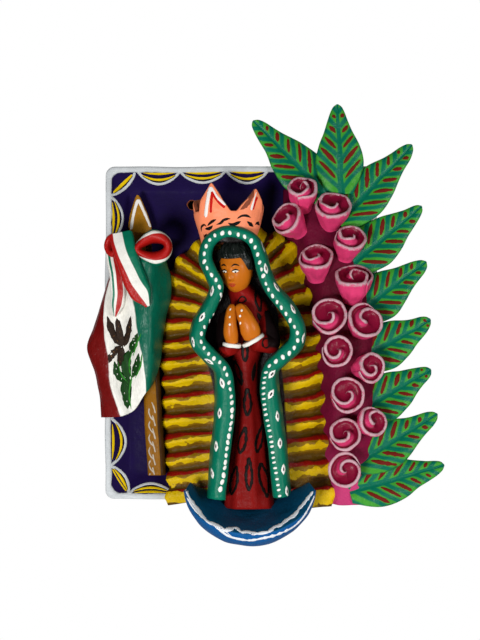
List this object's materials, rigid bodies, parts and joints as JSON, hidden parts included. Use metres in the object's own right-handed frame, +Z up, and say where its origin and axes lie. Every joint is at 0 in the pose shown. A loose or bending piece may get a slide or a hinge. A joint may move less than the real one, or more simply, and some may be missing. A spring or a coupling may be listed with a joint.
{
  "type": "clay retablo wall relief",
  "caption": "Painted clay wall relief: a shallow tray with a praying figure in a hooded mantle, pleated rays, crown, crescent, folded flag, rolled roses and leaves.",
  "frame": {"origin": "middle of the tray's flat back face, on the wall plane", "axes": "+Z up, +X to the viewer's right, the front faces -Y and the back rests on the wall plane y = 0"},
  "size_m": [0.2424, 0.0643, 0.2982],
  "materials": {
    "tray_violet": "satin",
    "ray_yellow": "satin",
    "rose_pink": "satin",
    "mantle_green": "satin",
    "robe_red": "satin",
    "skin_ochre": "satin",
    "hair_black": "satin",
    "ribbon_white": "satin",
    "crown_salmon": "satin",
    "crescent_blue": "satin",
    "pole_gold": "satin",
    "flag_green": "satin",
    "bow_red": "satin",
    "leaf_green": "satin"
  },
  "bodies": {
    "root": {"back_tray": "tray_violet", "ray_shell": "ray_yellow", "rose_bank": "rose_pink", "mantle": "mantle_green", "robe": "robe_red", "left_sleeve": "robe_red", "right_sleeve": "robe_red", "head": "skin_ochre", "left_hand": "skin_ochre", "right_hand": "skin_ochre", "hair": "hair_black", "left_cuff": "ribbon_white", "right_cuff": "ribbon_white", "crown": "crown_salmon", "crescent": "crescent_blue", "flag_pole": "pole_gold", "pole_finial": "pole_gold", "flag": "flag_green", "bow_loop_left": "bow_red", "bow_loop_right": "bow_red", "bow_band": "ribbon_white", "ribbon_tail_left": "ribbon_white", "rose_01": "rose_pink", "rose_02": "rose_pink", "rose_03": "rose_pink", "rose_04": "rose_pink", "rose_05": "rose_pink", "rose_06": "rose_pink", "rose_07": "rose_pink", "rose_08": "rose_pink", "rose_09": "rose_pink", "rose_10": "rose_pink", "rose_11": "rose_pink", "rose_12": "rose_pink", "rose_13": "rose_pink", "rose_14": "rose_pink", "leaf_1": "leaf_green", "leaf_2": "leaf_green", "leaf_3": "leaf_green", "leaf_4": "leaf_green", "leaf_5": "leaf_green", "leaf_6": "leaf_green", "leaf_7": "leaf_green", "leaf_8": "leaf_green", "leaf_9": "leaf_green"}
  },
  "joints": []
}
